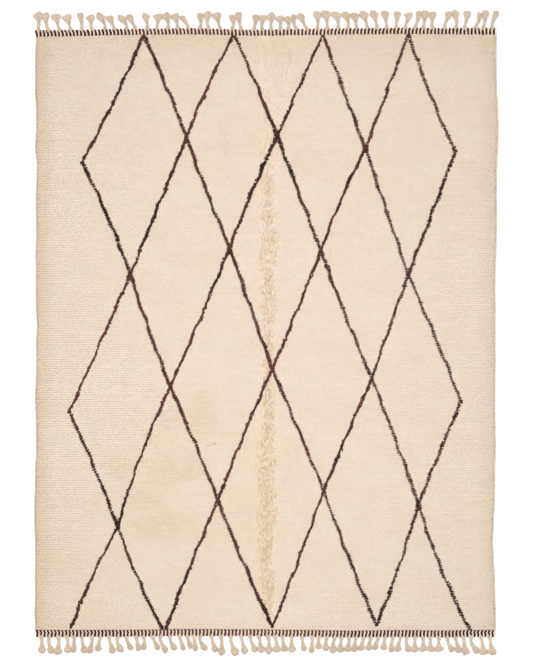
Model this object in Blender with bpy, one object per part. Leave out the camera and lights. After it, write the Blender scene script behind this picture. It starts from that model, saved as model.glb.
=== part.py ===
"""A hand-knotted wool rug with a diamond lattice, twined end bands and knotted tassels, lying flat.

Metres, +Z up. X runs across the rug and Y along it. The origin is the middle of the whole rug,
tassels included, on the floor. The rug is one woven cloth. Its tassels are gathered warp ends,
which stand on a narrow strip along each end of the cloth.
"""
import math

import bmesh
import bpy

# Driving dimensions
HALF_WIDTH = 1.260  # middle to the selvedge at the widest place
TOP_EDGE = 1.652  # middle to the outer edge of the end band at its furthest
BOTTOM_EDGE = 1.646
TIPS = 1.745  # middle to the longest tassel's tip
SELVEDGE = 0.009  # flat-woven strip along each side
BAND = 0.034  # flat twined band at each end, its tassel strip included
STRIP = 0.006  # the outermost part of the band, which the tassels grow from
GAP = 0.0003  # between the cloth and that strip
WEAVE_THICK = 0.007  # the cloth where it has no pile
PILE_TOP = 0.020  # floor to the tips of the pile
SHOULDER = ((0.003, 0.015), (0.018, 0.0188), (0.050, PILE_TOP))  # inwards from the pile's edge, height
PITCH_ACROSS = 0.094  # size of the cells that shape the pile's surface
PITCH_ALONG = 0.086

# The pile parts along one shallow furrow, which runs along the middle of the rug
FURROW_X = 0.014
FURROW_DEPTH = 0.0035
FURROW_STEPS = (-0.052, -0.022, 0.0, 0.022, 0.052)
FURROW_LENGTH = 1.62
LUMPS = 0.0011  # how far the pile's surface rises and falls

# How far the edges of the real rug lie inside its widest outline: place, one edge, the other edge
SIDES = (
    # along, left in, right in
    (1.584, 0.0060, 0.0065),
    (1.151, 0.0080, 0.0000),
    (0.826, 0.0120, 0.0080),
    (0.447, 0.0080, 0.0100),
    (0.177, 0.0100, 0.0160),
    (-0.365, 0.0055, 0.0170),
    (-0.635, 0.0090, 0.0145),
    (-1.068, 0.0000, 0.0240),
    (-1.393, 0.0040, 0.0170),
    (-1.610, 0.0005, 0.0115),
)
ENDS = (
    # across, bottom in, top in
    (-1.250, 0.0040, 0.0130),
    (-1.007, 0.0040, 0.0090),
    (-0.817, 0.0040, 0.0040),
    (-0.411, 0.0085, 0.0000),
    (-0.054, 0.0070, 0.0080),
    (0.184, 0.0040, 0.0040),
    (0.490, 0.0000, 0.0000),
    (0.730, 0.0030, 0.0005),
    (0.970, 0.0005, 0.0010),
    (1.150, 0.0040, 0.0055),
)

# The tassels of each end in groups of even pitch, left to right
TOP_TASSELS = (
    # tassels, first root, last root, lean of the first tip, lean of the last tip
    (6, -1.234, -0.947, -0.011, -0.011),
    (9, -0.877, -0.427, -0.020, -0.022),
    (5, -0.362, -0.140, -0.005, -0.010),
    (6, -0.065, 0.157, -0.006, -0.027),
    (10, 0.217, 0.704, -0.014, -0.002),
    (4, 0.753, 0.899, 0.016, 0.005),
    (6, 0.969, 1.224, 0.008, 0.018),
)
BOTTOM_TASSELS = (
    (6, -1.218, -0.996, 0.000, 0.003),
    (6, -0.947, -0.703, -0.010, 0.014),
    (6, -0.666, -0.422, 0.014, 0.009),
    (2, -0.389, -0.357, 0.005, 0.016),
    (5, -0.292, -0.081, 0.008, 0.016),
    (4, -0.038, 0.087, 0.012, 0.010),
    (3, 0.136, 0.249, 0.008, 0.000),
    (16, 0.287, 0.888, -0.006, -0.011),
    (5, 0.937, 1.110, 0.000, 0.014),
    (2, 1.164, 1.218, 0.014, 0.003),
)
ROOT_WIDTH = 0.015
SWAY = 0.003  # how far a tip lies from its group's even lean
SHORTEST = 0.016  # how much shorter the shortest tassel is than the longest
SHORT_CYCLE = 7  # tassels until the pattern of lengths comes round again
APART = 0.0015  # between neighbouring heads
SECTIONS = (
    # share of the tassel's length, width, height: cord, knot, then the brush of loose ends
    (0.25, 0.0150, 0.0100),
    (0.58, 0.0140, 0.0100),
    (0.69, 0.0270, 0.0160),
    (0.80, 0.0230, 0.0130),
    (1.00, 0.0360, 0.0090),
)
CROWN = 0.72  # width of a tassel's upper side, as a share of its foot

# Wool colours, linear
IVORY = (0.790, 0.665, 0.520, 1.0)
TAN = (0.640, 0.485, 0.335, 1.0)


def eased(table, at, column):
    """A column of a table, read smoothly between its rows, which stand in order of their place."""
    rows = sorted(table)
    if at <= rows[0][0]:
        return rows[0][column]
    for low, high in zip(rows, rows[1:]):
        if at <= high[0]:
            t = (at - low[0]) / (high[0] - low[0])
            t = t * t * (3 - 2 * t)
            return low[column] * (1 - t) + high[column] * t
    return rows[-1][column]


def placed(x, y):
    """Where a point of an even rug lies in the real one, whose edges wander."""
    across = (x / HALF_WIDTH + 1) / 2
    along = (y / TOP_EDGE + 1) / 2
    left, right = eased(SIDES, y, 1), eased(SIDES, y, 2)
    bottom, top = eased(ENDS, x, 1), eased(ENDS, x, 2)
    return x + left * (1 - across) - right * across, y + bottom * (1 - along) - top * along


def wool(name, colour):
    """A matt woollen material."""
    material = bpy.data.materials.new(name)
    material.use_nodes = True
    shader = material.node_tree.nodes["Principled BSDF"]
    shader.inputs["Base Color"].default_value = colour
    shader.inputs["Roughness"].default_value = 0.95
    shader.inputs["Metallic"].default_value = 0.0
    return material


def add_object(name, bm, material):
    """Turns a finished bmesh into a named object with its own material."""
    bmesh.ops.recalc_face_normals(bm, faces=bm.faces)
    mesh = bpy.data.meshes.new(name)
    bm.to_mesh(mesh)
    bm.free()
    mesh.materials.append(material)
    bpy.context.scene.collection.objects.link(bpy.data.objects.new(name, mesh))


def even_steps(start, stop, pitch):
    """Places from start to stop, both left out, no further than a pitch apart."""
    cells = math.ceil((stop - start) / pitch)
    return [start + (stop - start) * i / cells for i in range(1, cells)]


def rim(edge, flat):
    """Places and heights from an edge of the cloth over its flat strip and up the pile's shoulder."""
    steps = [(0.0, WEAVE_THICK), (flat, WEAVE_THICK)]
    steps += [(flat + inwards, height) for inwards, height in SHOULDER]
    side = math.copysign(1, edge)
    return [(edge - side * inset, height) for inset, height in steps]


def stations(low_edge, high_edge, flat, pitch, middle=()):
    """Places and heights across the rug one way: a rim, even cells, the middle's own steps and a rim."""
    low, high = rim(low_edge, flat), rim(high_edge, flat)[::-1]
    stops = [low[-1][0], *middle, high[0][0]]
    inner = []
    for here, there in zip(stops, stops[1:]):
        inner += even_steps(here, there, pitch) + [there]
    return low + [(place, PILE_TOP) for place in inner[:-1]] + high


def sunk(x, y):
    """How far the pile lies below its full height: its furrow and its soft lumps."""
    wide = max(0.0, 1 - abs(x - FURROW_X) / FURROW_STEPS[-1])
    fade = math.cos(math.pi / 2 * min(1.0, abs(y) / FURROW_LENGTH)) ** 0.5
    wave = math.sin(9.1 * x + 2.3 * y) * math.sin(7.3 * y - 1.7 * x)
    return FURROW_DEPTH * wide * fade + LUMPS * (0.5 + 0.5 * wave)


def columns():
    """The places and heights across the rug, with the furrow's own."""
    furrow = [FURROW_X + step for step in FURROW_STEPS]
    return stations(-HALF_WIDTH, HALF_WIDTH, SELVEDGE, PITCH_ACROSS, furrow)


def make_rug():
    """The woven cloth: flat selvedges and end bands round one block of knotted pile."""
    end = STRIP + GAP
    across = columns()
    along = stations(end - BOTTOM_EDGE, TOP_EDGE - end, BAND - end, PITCH_ALONG)
    bm = bmesh.new()
    bmesh.ops.create_grid(bm, x_segments=len(across) - 1, y_segments=len(along) - 1, size=1)
    for vert in bm.verts:
        x, height_x = across[round((vert.co.x + 1) / 2 * (len(across) - 1))]
        y, height_y = along[round((vert.co.y + 1) / 2 * (len(along) - 1))]
        height = min(height_x, height_y)
        if height > WEAVE_THICK:
            height -= sunk(x, y)
        vert.co = (*placed(x, y), height)
    top = list(bm.faces)
    lower = bmesh.ops.extrude_face_region(bm, geom=top)["geom"]
    for vert in (item for item in lower if isinstance(item, bmesh.types.BMVert)):
        vert.co.z = 0.0
    underside = [item for item in lower if isinstance(item, bmesh.types.BMFace)]
    bmesh.ops.dissolve_faces(bm, faces=underside, use_verts=False)
    add_object("rug_body", bm, wool("ivory_wool", IVORY))


def tassels_of(groups):
    """Each tassel's root, tip and length, as (root x, tip x, how much shorter than the longest)."""
    found = []
    for count, first, last, lean_first, lean_last in groups:
        for i in range(count):
            share = i / (count - 1)
            root = first + (last - first) * share
            lean = lean_first + (lean_last - lean_first) * share
            number = len(found)
            shorter = SHORTEST * (number * 3 % SHORT_CYCLE) / (SHORT_CYCLE - 1)
            found.append((root, root + lean + SWAY * math.sin(2.4 * number), shorter))
    return found


def room_round(tassels, number):
    """The width that a tassel's head has between its neighbours' heads."""
    tips = [tip for root, tip, shorter in tassels]
    gaps = [abs(tips[other] - tips[number]) for other in (number - 1, number + 1) if 0 <= other < len(tips)]
    return min(gaps) - APART


def grow_tassel(bm, face, side, tassel, room, foot):
    """Extrudes a root face into a cord, a knot and a brush, all resting on the floor."""
    root, tip, shorter = tassel
    reach = TIPS - shorter - abs(foot)
    for share, width, height in SECTIONS:
        face = bmesh.ops.extrude_discrete_faces(bm, faces=[face])["faces"][0]
        old_middle = middle_of(face)
        middle = root + (tip - root) * share**1.5
        half = min(width, room) / 2
        for vert in face.verts:
            upper = vert.co.z > WEAVE_THICK / 2
            across = math.copysign(half * (CROWN if upper else 1), vert.co.x - old_middle)
            vert.co = (middle + across, foot + side * reach * share, height if upper else 0.0)


def middle_of(face):
    """The place of a face's middle across the rug."""
    return face.calc_center_median().x


def along_line(points, x):
    """How far along the rug a line of points lies where it passes x."""
    for (x0, y0), (x1, y1) in zip(points, points[1:]):
        if x <= x1:
            break
    return y0 + (y1 - y0) * (x - x0) / (x1 - x0)


def make_fringe(name, side, edge, groups):
    """One end's tassels on their strip. side is +1 at the top and -1 at the bottom."""
    tassels = tassels_of(groups)
    cloth_end = [placed(x, side * (edge - STRIP - GAP)) for x, height in columns()]
    stops = [cloth_end[0][0]]
    for root, tip, shorter in tassels:
        stops += [root - ROOT_WIDTH / 2, root + ROOT_WIDTH / 2]
    stops.append(cloth_end[-1][0])
    bm = bmesh.new()
    bmesh.ops.create_grid(bm, x_segments=len(stops) - 1, y_segments=1, size=1)
    for vert in bm.verts:
        x = stops[round((vert.co.x + 1) / 2 * (len(stops) - 1))]
        y = along_line(cloth_end, x) + side * (GAP + STRIP)
        vert.co = (x, y, WEAVE_THICK if vert.co.y > 0 else 0.0)
    wall = sorted(bm.faces, key=middle_of)
    inner = bmesh.ops.extrude_face_region(bm, geom=wall)["geom"]
    for vert in (item for item in inner if isinstance(item, bmesh.types.BMVert)):
        vert.co.y -= side * STRIP
    for number, (face, tassel) in enumerate(zip(wall[1::2], tassels)):
        foot = face.calc_center_median().y
        grow_tassel(bm, face, side, tassel, room_round(tassels, number), foot)
    add_object(name, bm, wool(name + "_wool", TAN))


for old in list(bpy.data.objects):
    bpy.data.objects.remove(old, do_unlink=True)

make_rug()
make_fringe("fringe_top", 1, TOP_EDGE, TOP_TASSELS)
make_fringe("fringe_bottom", -1, BOTTOM_EDGE, BOTTOM_TASSELS)
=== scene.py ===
"""A large hand-knotted wool rug: woven ground, pile, lattice, twined ends, bound sides and tassels.

Everything is in metres, +Z up. X runs across the rug and Y along it. The origin is the middle of
the whole rug on the floor. The cloth, the locks of wool and the stitches are laid out on an even
rug with straight edges, and placed() moves them to the real one, whose edges wander. The tables
of the lattice, the patches and the tassels give places on the real rug.
"""
import math

import bpy
import numpy as np
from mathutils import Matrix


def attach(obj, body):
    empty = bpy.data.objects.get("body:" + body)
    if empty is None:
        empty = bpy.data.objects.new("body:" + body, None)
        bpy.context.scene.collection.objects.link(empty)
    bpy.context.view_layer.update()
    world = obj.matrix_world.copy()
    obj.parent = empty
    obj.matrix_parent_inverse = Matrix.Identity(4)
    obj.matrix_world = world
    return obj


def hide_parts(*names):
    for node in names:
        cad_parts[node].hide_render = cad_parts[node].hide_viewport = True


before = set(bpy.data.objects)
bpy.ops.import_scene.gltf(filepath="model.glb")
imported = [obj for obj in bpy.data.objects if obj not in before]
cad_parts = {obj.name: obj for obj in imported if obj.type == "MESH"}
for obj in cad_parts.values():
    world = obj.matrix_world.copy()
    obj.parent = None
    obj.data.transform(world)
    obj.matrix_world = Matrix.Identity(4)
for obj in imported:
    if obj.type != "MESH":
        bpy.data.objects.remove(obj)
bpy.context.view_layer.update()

bl_info = {
    "name": "Knotted wool rug",
    "version": (1, 0, 0),
    "blender": (4, 5, 0),
    "location": "View3D > Sidebar > Rug",
    "description": "Makes a large knotted wool rug, with its pile, lattice, edges and tassels",
    "category": "Add Mesh",
}

# The even rug, with the sizes of its solids
HALF_WIDTH = 1.260  # middle to the bound side at the widest place
TOP_EDGE = 1.652  # middle to the outer edge of the end band at its furthest
BOTTOM_EDGE = 1.646
SELVEDGE = 0.009  # flat bound strip along each side
BAND = 0.034  # flat twined band at each end
WEAVE_THICK = 0.007  # the cloth where it has no pile
PILE_TOP = 0.020  # floor to the tips of the pile
UNDERSIDE = 0.0004  # floor to the underside of the cloth
PILE_HALF = HALF_WIDTH - SELVEDGE  # middle to the side edge of the pile
PILE_LOW, PILE_HIGH = BAND - BOTTOM_EDGE, TOP_EDGE - BAND  # where the pile begins and ends
SHOULDER = (
    # inwards from the edge of the pile, height of the tips
    (-0.008, 0.0060),
    (0.000, 0.0125),
    (0.003, 0.0150),
    (0.018, 0.0188),
    (0.050, PILE_TOP),
)
LUMPS = 0.0011  # how far the pile's surface rises and falls

# The furrow down the middle, where the locks are drawn in from both sides and their roots show
FURROW_X = 0.014  # where it is deepest
FURROW_DEPTH = 0.0035
FURROW_HALF = 0.052  # half the width of its hollow
FURROW_LENGTH = 1.62  # half its length
FURROW = (
    # along, middle across, half width, how plainly it shows
    (1.60, -0.020, 0.038, 0.25),
    (1.35, -0.005, 0.048, 0.25),
    (1.20, 0.028, 0.062, 0.30),
    (1.00, 0.008, 0.070, 0.35),
    (0.80, 0.010, 0.058, 0.60),
    (0.50, 0.009, 0.060, 0.90),
    (0.20, 0.012, 0.055, 0.85),
    (0.00, 0.012, 0.046, 0.75),
    (-0.30, 0.013, 0.046, 0.85),
    (-0.55, 0.012, 0.052, 0.90),
    (-0.75, 0.007, 0.070, 1.00),
    (-0.95, 0.014, 0.062, 1.00),
    (-1.20, 0.014, 0.052, 0.95),
    (-1.45, 0.014, 0.048, 0.85),
    (-1.58, 0.014, 0.032, 0.40),
)
FURROW_BRANCH = (
    (1.62, 0.135, 0.024, 0.30),
    (1.50, 0.130, 0.026, 0.35),
    (1.42, 0.104, 0.034, 0.30),
    (1.30, 0.094, 0.030, 0.25),
    (1.22, 0.070, 0.034, 0.20),
    (1.15, 0.045, 0.034, 0.00),
)
FURROW_LEAN = (
    # along, how far the locks beside the furrow point into it
    (-1.05, 0.30),
    (-0.92, -0.28),
    (-0.70, -0.28),
    (-0.58, 0.32),
)

# The changes in the undyed wool's colour: the middle of each patch, its reach and its strength
TAN_SPOTS = (
    # across, along, reach across, reach along, how tan
    (-0.216, 1.010, 0.040, 0.090, 0.35),
    (-0.311, -0.609, 0.014, 0.007, 1.00),
    (-0.279, -0.597, 0.014, 0.007, 1.00),
)
YELLOW_PATCHES = (
    # across, along, reach across, reach along, share
    (-0.35, -0.80, 0.85, 0.66, 0.95),
    (0.014, -1.28, 0.10, 0.34, 1.00),
    (-1.15, -1.45, 0.45, 0.50, 1.00),
    (0.00, 0.96, 1.20, 0.24, 0.45),
)
OCHRE_STREAKS = (
    # across, along, reach across, reach along: where tanner wool shows in the gaps between rows of knots,
    # with painted shade in those gaps
    (-0.486, -0.733, 0.20, 0.090),
    (-0.796, -0.727, 0.09, 0.080),
    (-0.666, -0.901, 0.12, 0.070),
    (-0.541, -1.041, 0.24, 0.090),
    (-0.530, -0.467, 0.10, 0.090),
    (-0.346, -0.453, 0.10, 0.150),
)
DARKER_EDGES = (
    # axis, which way its ragged line goes, where the darker wool begins, where it is full, share
    ("X", 1, -1.12, -1.25, 0.62),
    ("X", -1, 1.12, 1.24, 0.38),
    ("Y", 1, 1.34, 1.64, 0.34),
    ("Y", -1, -1.52, -1.66, 0.16),
)

# How far the edges of the real rug lie inside those of the even one
SIDES = (
    # along, left in, right in
    (1.640, 0.013, 0.012),
    (1.606, 0.013, 0.008),
    (1.508, 0.009, 0.010),
    (1.411, 0.010, 0.009),
    (1.314, 0.009, 0.008),
    (1.216, 0.015, 0.002),
    (1.119, 0.014, -0.001),
    (1.021, 0.009, -0.000),
    (0.924, 0.018, 0.006),
    (0.826, 0.016, 0.008),
    (0.729, 0.013, 0.009),
    (0.631, 0.014, 0.007),
    (0.534, 0.015, 0.008),
    (0.437, 0.011, 0.011),
    (0.339, 0.013, 0.015),
    (0.242, 0.013, 0.017),
    (0.144, 0.014, 0.015),
    (0.047, 0.019, 0.016),
    (-0.051, 0.014, 0.015),
    (-0.148, 0.015, 0.014),
    (-0.246, 0.013, 0.016),
    (-0.343, 0.009, 0.017),
    (-0.440, 0.013, 0.017),
    (-0.538, 0.014, 0.015),
    (-0.635, 0.014, 0.013),
    (-0.733, 0.009, 0.017),
    (-0.830, 0.008, 0.018),
    (-0.928, 0.005, 0.020),
    (-1.025, 0.005, 0.024),
    (-1.123, 0.009, 0.029),
    (-1.220, 0.009, 0.024),
    (-1.317, 0.007, 0.019),
    (-1.415, 0.009, 0.017),
    (-1.512, 0.006, 0.014),
    (-1.604, 0.010, 0.014),
    (-1.636, 0.017, 0.019),
)
ENDS = (
    # across, bottom in, top in
    (-1.250, 0.0040, 0.0130),
    (-1.007, 0.0040, 0.0090),
    (-0.817, 0.0040, 0.0040),
    (-0.411, 0.0085, 0.0000),
    (-0.054, 0.0070, 0.0080),
    (0.184, 0.0040, 0.0040),
    (0.490, 0.0000, 0.0000),
    (0.730, 0.0030, -0.0025),
    (0.970, 0.0005, -0.0010),
    (1.150, 0.0040, 0.0010),
)

# The tassels, left to right, in millimetres
TOP_TASSELS = (
    # where the root, the neck, the head and the tip lie across the rug, length, width of the brush
    (-1232, -1233, -1235, -1243, 101, 48),
    (-1176, -1191, -1195, -1199, 98, 40),
    (-1119, -1131, -1138, -1139, 92, 52),
    (-1057, -1069, -1077, -1082, 86, 52),
    (-1000, -1000, -1005, -1006, 97, 34),
    (-942, -950, -951, -955, 82, 47),
    (-877, -879, -895, -892, 87, 48),
    (-821, -834, -845, -848, 75, 42),
    (-760, -762, -778, -778, 75, 48),
    (-707, -723, -736, -737, 81, 35),
    (-646, -646, -651, -645, 85, 41),
    (-590, -588, -585, -586, 82, 50),
    (-533, -531, -540, -549, 86, 43),
    (-480, -484, -492, -499, 81, 45),
    (-424, -432, -450, -454, 71, 29),
    (-361, -354, -356, -351, 85, 34),
    (-308, -319, -317, -318, 97, 42),
    (-248, -259, -266, -269, 91, 50),
    (-188, -178, -182, -182, 82, 36),
    (-135, -144, -148, -148, 98, 37),
    (-65, -60, -57, -57, 86, 36),
    (-20, -23, -18, -17, 82, 44),
    (28, 27, 26, 18, 91, 48),
    (75, 78, 74, 70, 76, 44),
    (118, 121, 114, 107, 70, 36),
    (163, 151, 149, 159, 80, 31),
    (220, 202, 190, 193, 87, 42),
    (275, 280, 279, 283, 97, 47),
    (330, 329, 326, 328, 100, 50),
    (386, 390, 383, 386, 92, 51),
    (438, 444, 436, 440, 91, 48),
    (489, 486, 483, 486, 86, 46),
    (544, 541, 532, 538, 93, 49),
    (599, 594, 586, 592, 96, 46),
    (651, 650, 645, 647, 96, 44),
    (704, 707, 711, 713, 91, 38),
    (755, 763, 772, 770, 85, 43),
    (804, 819, 827, 832, 94, 30),
    (852, 857, 862, 867, 96, 38),
    (902, 899, 902, 902, 91, 43),
    (969, 975, 988, 991, 93, 37),
    (1023, 1032, 1027, 1035, 96, 38),
    (1073, 1084, 1090, 1092, 97, 40),
    (1128, 1148, 1157, 1162, 88, 26),
    (1174, 1185, 1190, 1195, 102, 36),
    (1227, 1229, 1244, 1251, 97, 31),
)
BOTTOM_TASSELS = (
    (-1217, -1215, -1215, -1223, 90, 40),
    (-1174, -1175, -1166, -1165, 96, 36),
    (-1126, -1124, -1127, -1127, 101, 41),
    (-1082, -1074, -1075, -1080, 91, 38),
    (-1038, -1040, -1042, -1050, 87, 30),
    (-995, -994, -987, -990, 92, 36),
    (-944, -945, -953, -955, 93, 32),
    (-896, -905, -909, -910, 81, 37),
    (-848, -843, -834, -836, 93, 35),
    (-799, -804, -792, -795, 85, 41),
    (-755, -749, -736, -734, 76, 33),
    (-704, -697, -692, -689, 82, 30),
    (-665, -659, -662, -667, 76, 29),
    (-616, -603, -590, -590, 77, 27),
    (-569, -565, -548, -552, 96, 35),
    (-517, -515, -500, -497, 81, 36),
    (-469, -460, -450, -449, 82, 25),
    (-426, -419, -412, -413, 72, 25),
    (-390, -387, -382, -383, 87, 26),
    (-352, -354, -336, -337, 82, 38),
    (-294, -288, -278, -277, 92, 34),
    (-243, -240, -240, -241, 109, 40),
    (-188, -185, -171, -177, 109, 48),
    (-136, -124, -117, -122, 102, 40),
    (-84, -77, -63, -60, 91, 33),
    (-39, -32, -26, -21, 93, 41),
    (7, 16, 15, 22, 98, 43),
    (48, 57, 57, 54, 90, 42),
    (89, 94, 100, 101, 86, 37),
    (139, 139, 141, 143, 88, 42),
    (195, 199, 205, 206, 81, 33),
    (249, 249, 247, 250, 91, 30),
    (290, 284, 285, 284, 69, 36),
    (330, 324, 326, 334, 75, 36),
    (372, 365, 364, 367, 90, 38),
    (412, 404, 404, 404, 85, 41),
    (451, 448, 444, 444, 81, 36),
    (490, 481, 479, 475, 82, 35),
    (530, 522, 515, 513, 75, 38),
    (570, 561, 557, 556, 74, 37),
    (611, 599, 593, 595, 71, 32),
    (649, 640, 638, 636, 74, 36),
    (689, 681, 680, 681, 87, 33),
    (730, 720, 716, 720, 81, 33),
    (767, 761, 769, 767, 85, 36),
    (808, 806, 808, 811, 85, 41),
    (849, 853, 853, 857, 81, 42),
    (891, 891, 893, 891, 82, 40),
    (938, 936, 938, 940, 80, 47),
    (982, 990, 1004, 1012, 82, 33),
    (1025, 1035, 1043, 1046, 87, 37),
    (1070, 1075, 1081, 1088, 98, 38),
    (1114, 1116, 1137, 1147, 93, 35),
    (1163, 1173, 1178, 1180, 102, 43),
    (1215, 1218, 1225, 1224, 102, 47),
)

# The lattice's lines run from one row of crossings and turning points to the next
NEIGHBOURS = 0.42  # a line joins points of two rows that are closer than this across the rug
NEAR_BAND = 1.5  # a line that ends further along than this runs out at an end band
AT_BAND = 1.6  # and one that ends short of this stops a little before the band
LATTICE = (
    # each point's places across and along, row by row from the top
    ((-0.662, 1.617), (-0.174, 1.617), (0.309, 1.617), (0.772, 1.617)),
    ((-0.996, 0.927), (-0.430, 1.062), (0.061, 1.067), (0.539, 1.000), (1.025, 0.983)),
    ((-0.734, 0.320), (-0.196, 0.464), (0.297, 0.447), (0.770, 0.318)),
    ((-1.065, -0.424), (-0.517, -0.289), (0.035, -0.194), (0.573, -0.244), (1.055, -0.370)),
    ((-0.802, -1.047), (-0.259, -0.903), (0.313, -0.852), (0.825, -0.922)),
    ((-1.065, -1.622), (-0.550, -1.622), (0.036, -1.590), (0.598, -1.580), (1.111, -1.622)),
)
# How far the middle of each line strays to the right, in millimetres, between each row and the next
STRAY = (
    (13, 5, -11, 5, -2, -3, -1, -13),
    (11, 0, -7, -8, -1, -12, -1, 1),
    (3, -7, 3, -2, 3, -7, -1, 5),
    (8, -20, 3, -8, 1, -4, 4, -2),
    (-15, -14, -6, -9, 3, -7, 11, -21),
)

# How thick each of those lines is at four places down it, in hundredths of the usual width
THICK_AT = (0.16, 0.39, 0.61, 0.84)
THICKNESS = (
    (
        (120, 95, 100, 100), (115, 110, 100, 100), (100, 105, 115, 90), (85, 80, 115, 125),
        (100, 90, 95, 105), (105, 95, 95, 110), (90, 80, 90, 95), (95, 100, 100, 105),
    ),
    (
        (120, 115, 110, 95), (120, 105, 115, 95), (115, 105, 100, 105), (150, 120, 110, 110),
        (110, 100, 105, 95), (95, 115, 80, 85), (100, 95, 85, 90), (100, 110, 100, 100),
    ),
    (
        (100, 95, 65, 90), (105, 105, 100, 110), (115, 100, 100, 95), (105, 105, 95, 125),
        (105, 85, 95, 100), (115, 100, 90, 95), (90, 80, 85, 70), (85, 95, 100, 85),
    ),
    (
        (95, 90, 85, 110), (95, 85, 80, 100), (120, 105, 80, 95), (110, 95, 90, 110),
        (105, 85, 95, 85), (100, 100, 95, 110), (90, 95, 90, 105), (95, 90, 100, 90),
    ),
    (
        (70, 80, 120, 110), (80, 90, 95, 115), (110, 85, 110, 125), (100, 105, 100, 135),
        (70, 90, 85, 90), (80, 100, 90, 105), (90, 80, 75, 115), (100, 90, 95, 120),
    ),
)

# Where the lattice's wool is nearly black: the middle of each patch, its reach and its strength
UMBER_PATCHES = (
    # across, along, reach across, reach along, share
    (-0.98, 1.36, 0.42, 0.40, 1.00),
    (-0.70, 0.66, 0.46, 0.38, 1.00),
    (-0.02, 0.96, 0.34, 0.26, 1.00),
    (-0.84, -0.95, 0.34, 0.26, 1.00),
    (-0.62, -1.56, 0.60, 0.34, 1.00),
    (0.92, -1.44, 0.58, 0.44, 1.00),
    (0.98, 0.62, 0.22, 0.26, 1.00),
    (-0.02, -1.52, 0.12, 0.14, 1.00),
    (-0.60, -0.50, 0.16, 0.26, 0.55),
    (-0.14, 0.60, 0.12, 0.20, 0.50),
    (0.24, 1.46, 0.13, 0.26, 0.50),
    (-0.36, -1.10, 0.12, 0.20, 0.50),
    (0.20, -1.15, 0.16, 0.34, 0.35),
    (0.40, -0.66, 0.12, 0.22, 0.50),
    (0.42, 0.74, 0.15, 0.30, 0.45),
    (0.24, 0.28, 0.12, 0.22, 0.50),
    (-0.50, 0.92, 0.14, 0.22, 0.50),
    (-1.00, -0.54, 0.14, 0.18, 0.50),
    (-0.27, 0.30, 0.13, 0.24, 0.50),
)

# Where the locks of a line lie across it, in shares of its width
PLAIN_LINE = (-0.21, 0.21)
TOOTHED_LINE = (-0.30, 0.0, 0.30)

# How the other locks differ from the ivory ones
TAN_WIDE, TAN_LONG = 0.40, 1.75  # a tan strand's width and length as shares of theirs
DARK_LIFT, TAN_LIFT = 0.0012, 0.0009  # how far these stand above them
UNDER_DROP = 0.0020  # how far the wide dark ones lie below them

RIB = 0.0055  # from one rib of the ground's weave to the next
TWIST = 0.0036  # from one turn of a yarn's twist to the next

# The bars of the end bands, stitch by stitch
TOP_BAR = (
    # share of the band inwards, shift across, slant, half length
    (0.26, -0.0024, 0.42, 0.0118),
    (0.70, 0.0012, 0.02, 0.0124),
)
BOTTOM_BAR = (
    (0.90, 0.0010, 0.32, 0.0086),
    (0.50, 0.0008, -0.42, 0.0086),
    (0.17, -0.0014, 0.08, 0.0080),
)
# How strongly the bars lean, which turns over along each band: across, strength
TOP_LEAN = (
    (-1.25, 1.1),
    (-0.40, 0.8),
    (0.05, 0.0),
    (0.35, -0.8),
    (0.85, -0.9),
    (1.05, -0.3),
    (1.25, -0.1),
)
BOTTOM_LEAN = (
    (-1.25, 0.9),
    (0.40, 1.0),
    (0.75, 0.4),
    (0.95, -0.6),
    (1.25, -1.1),
)
STITCHES = ((0.30, 0.0064), (0.80, 0.0046))  # dark, then pale: place within a pair, half width
STITCH_MIDDLE = 0.0052  # floor to the middle of a stitch
STITCH_THICK = 0.0036  # half its thickness
PALE_DEEP = (0.62, 0.48, 0.36, 1.0)  # the pale yarn where it is darker

# One turn of a selvedge's binding yarn
WRAP_INSET = 0.0050  # edge of the cloth to the middle of the turn
WRAP_MIDDLE = 0.0045  # floor to its middle
WRAP_REACH = 0.0064  # half its length across the edge
WRAP_THICK = 0.0038  # half its thickness
WRAP_LIT = (0.73, 0.625, 0.505, 1.0)  # its colour with painted light, mostly on the right side
WRAP_SHADED = (0.54, 0.420, 0.295, 1.0)  # its colour with painted shade, mostly on the left side

# A tassel, in shares of its length from the band
NECK, HEAD = 0.42, 0.78  # its neck, and the middle of its head
KNOT_AT = 0.53
FLAT = 0.62  # its height as a share of its width, because it lies on the floor
PLIES = 3  # of its cord
STRANDS = 26  # of its brush
USUAL_LENGTH = 0.09  # the length in metres that its knot is made for
CORD_MIDDLE, KNOT_MIDDLE, BRUSH_MIDDLE = 0.0056, 0.0076, 0.0066  # floor to the middle of each
RESTS_AT = 0.0003  # floor to its underside
ROOT = 0.15  # how far from the band its plies have drawn together
PLIES_APART = 0.0078  # from one ply to the next where they leave the band
STREAK = 0.014  # from one paler streak of its brush to the next
BRUSH = (
    # share of the way from the knot to the tip, how far spread, half a strand's thickness
    (0.00, 0.34, 0.0022),
    (0.20, 0.54, 0.0026),
    (0.50, 0.93, 0.0028),
    (0.82, 1.00, 0.0024),
    (1.00, 0.88, 0.0009),
)
FRINGES = (
    # end, which way it points, edge it grows from, its tassels, how round their tips are
    ("top", 1, TOP_EDGE, TOP_TASSELS, 0.05),
    ("bottom", -1, BOTTOM_EDGE, BOTTOM_TASSELS, 0.11),
)


# ---------------------------------------------------------------- sizes and colours a user changes


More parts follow.
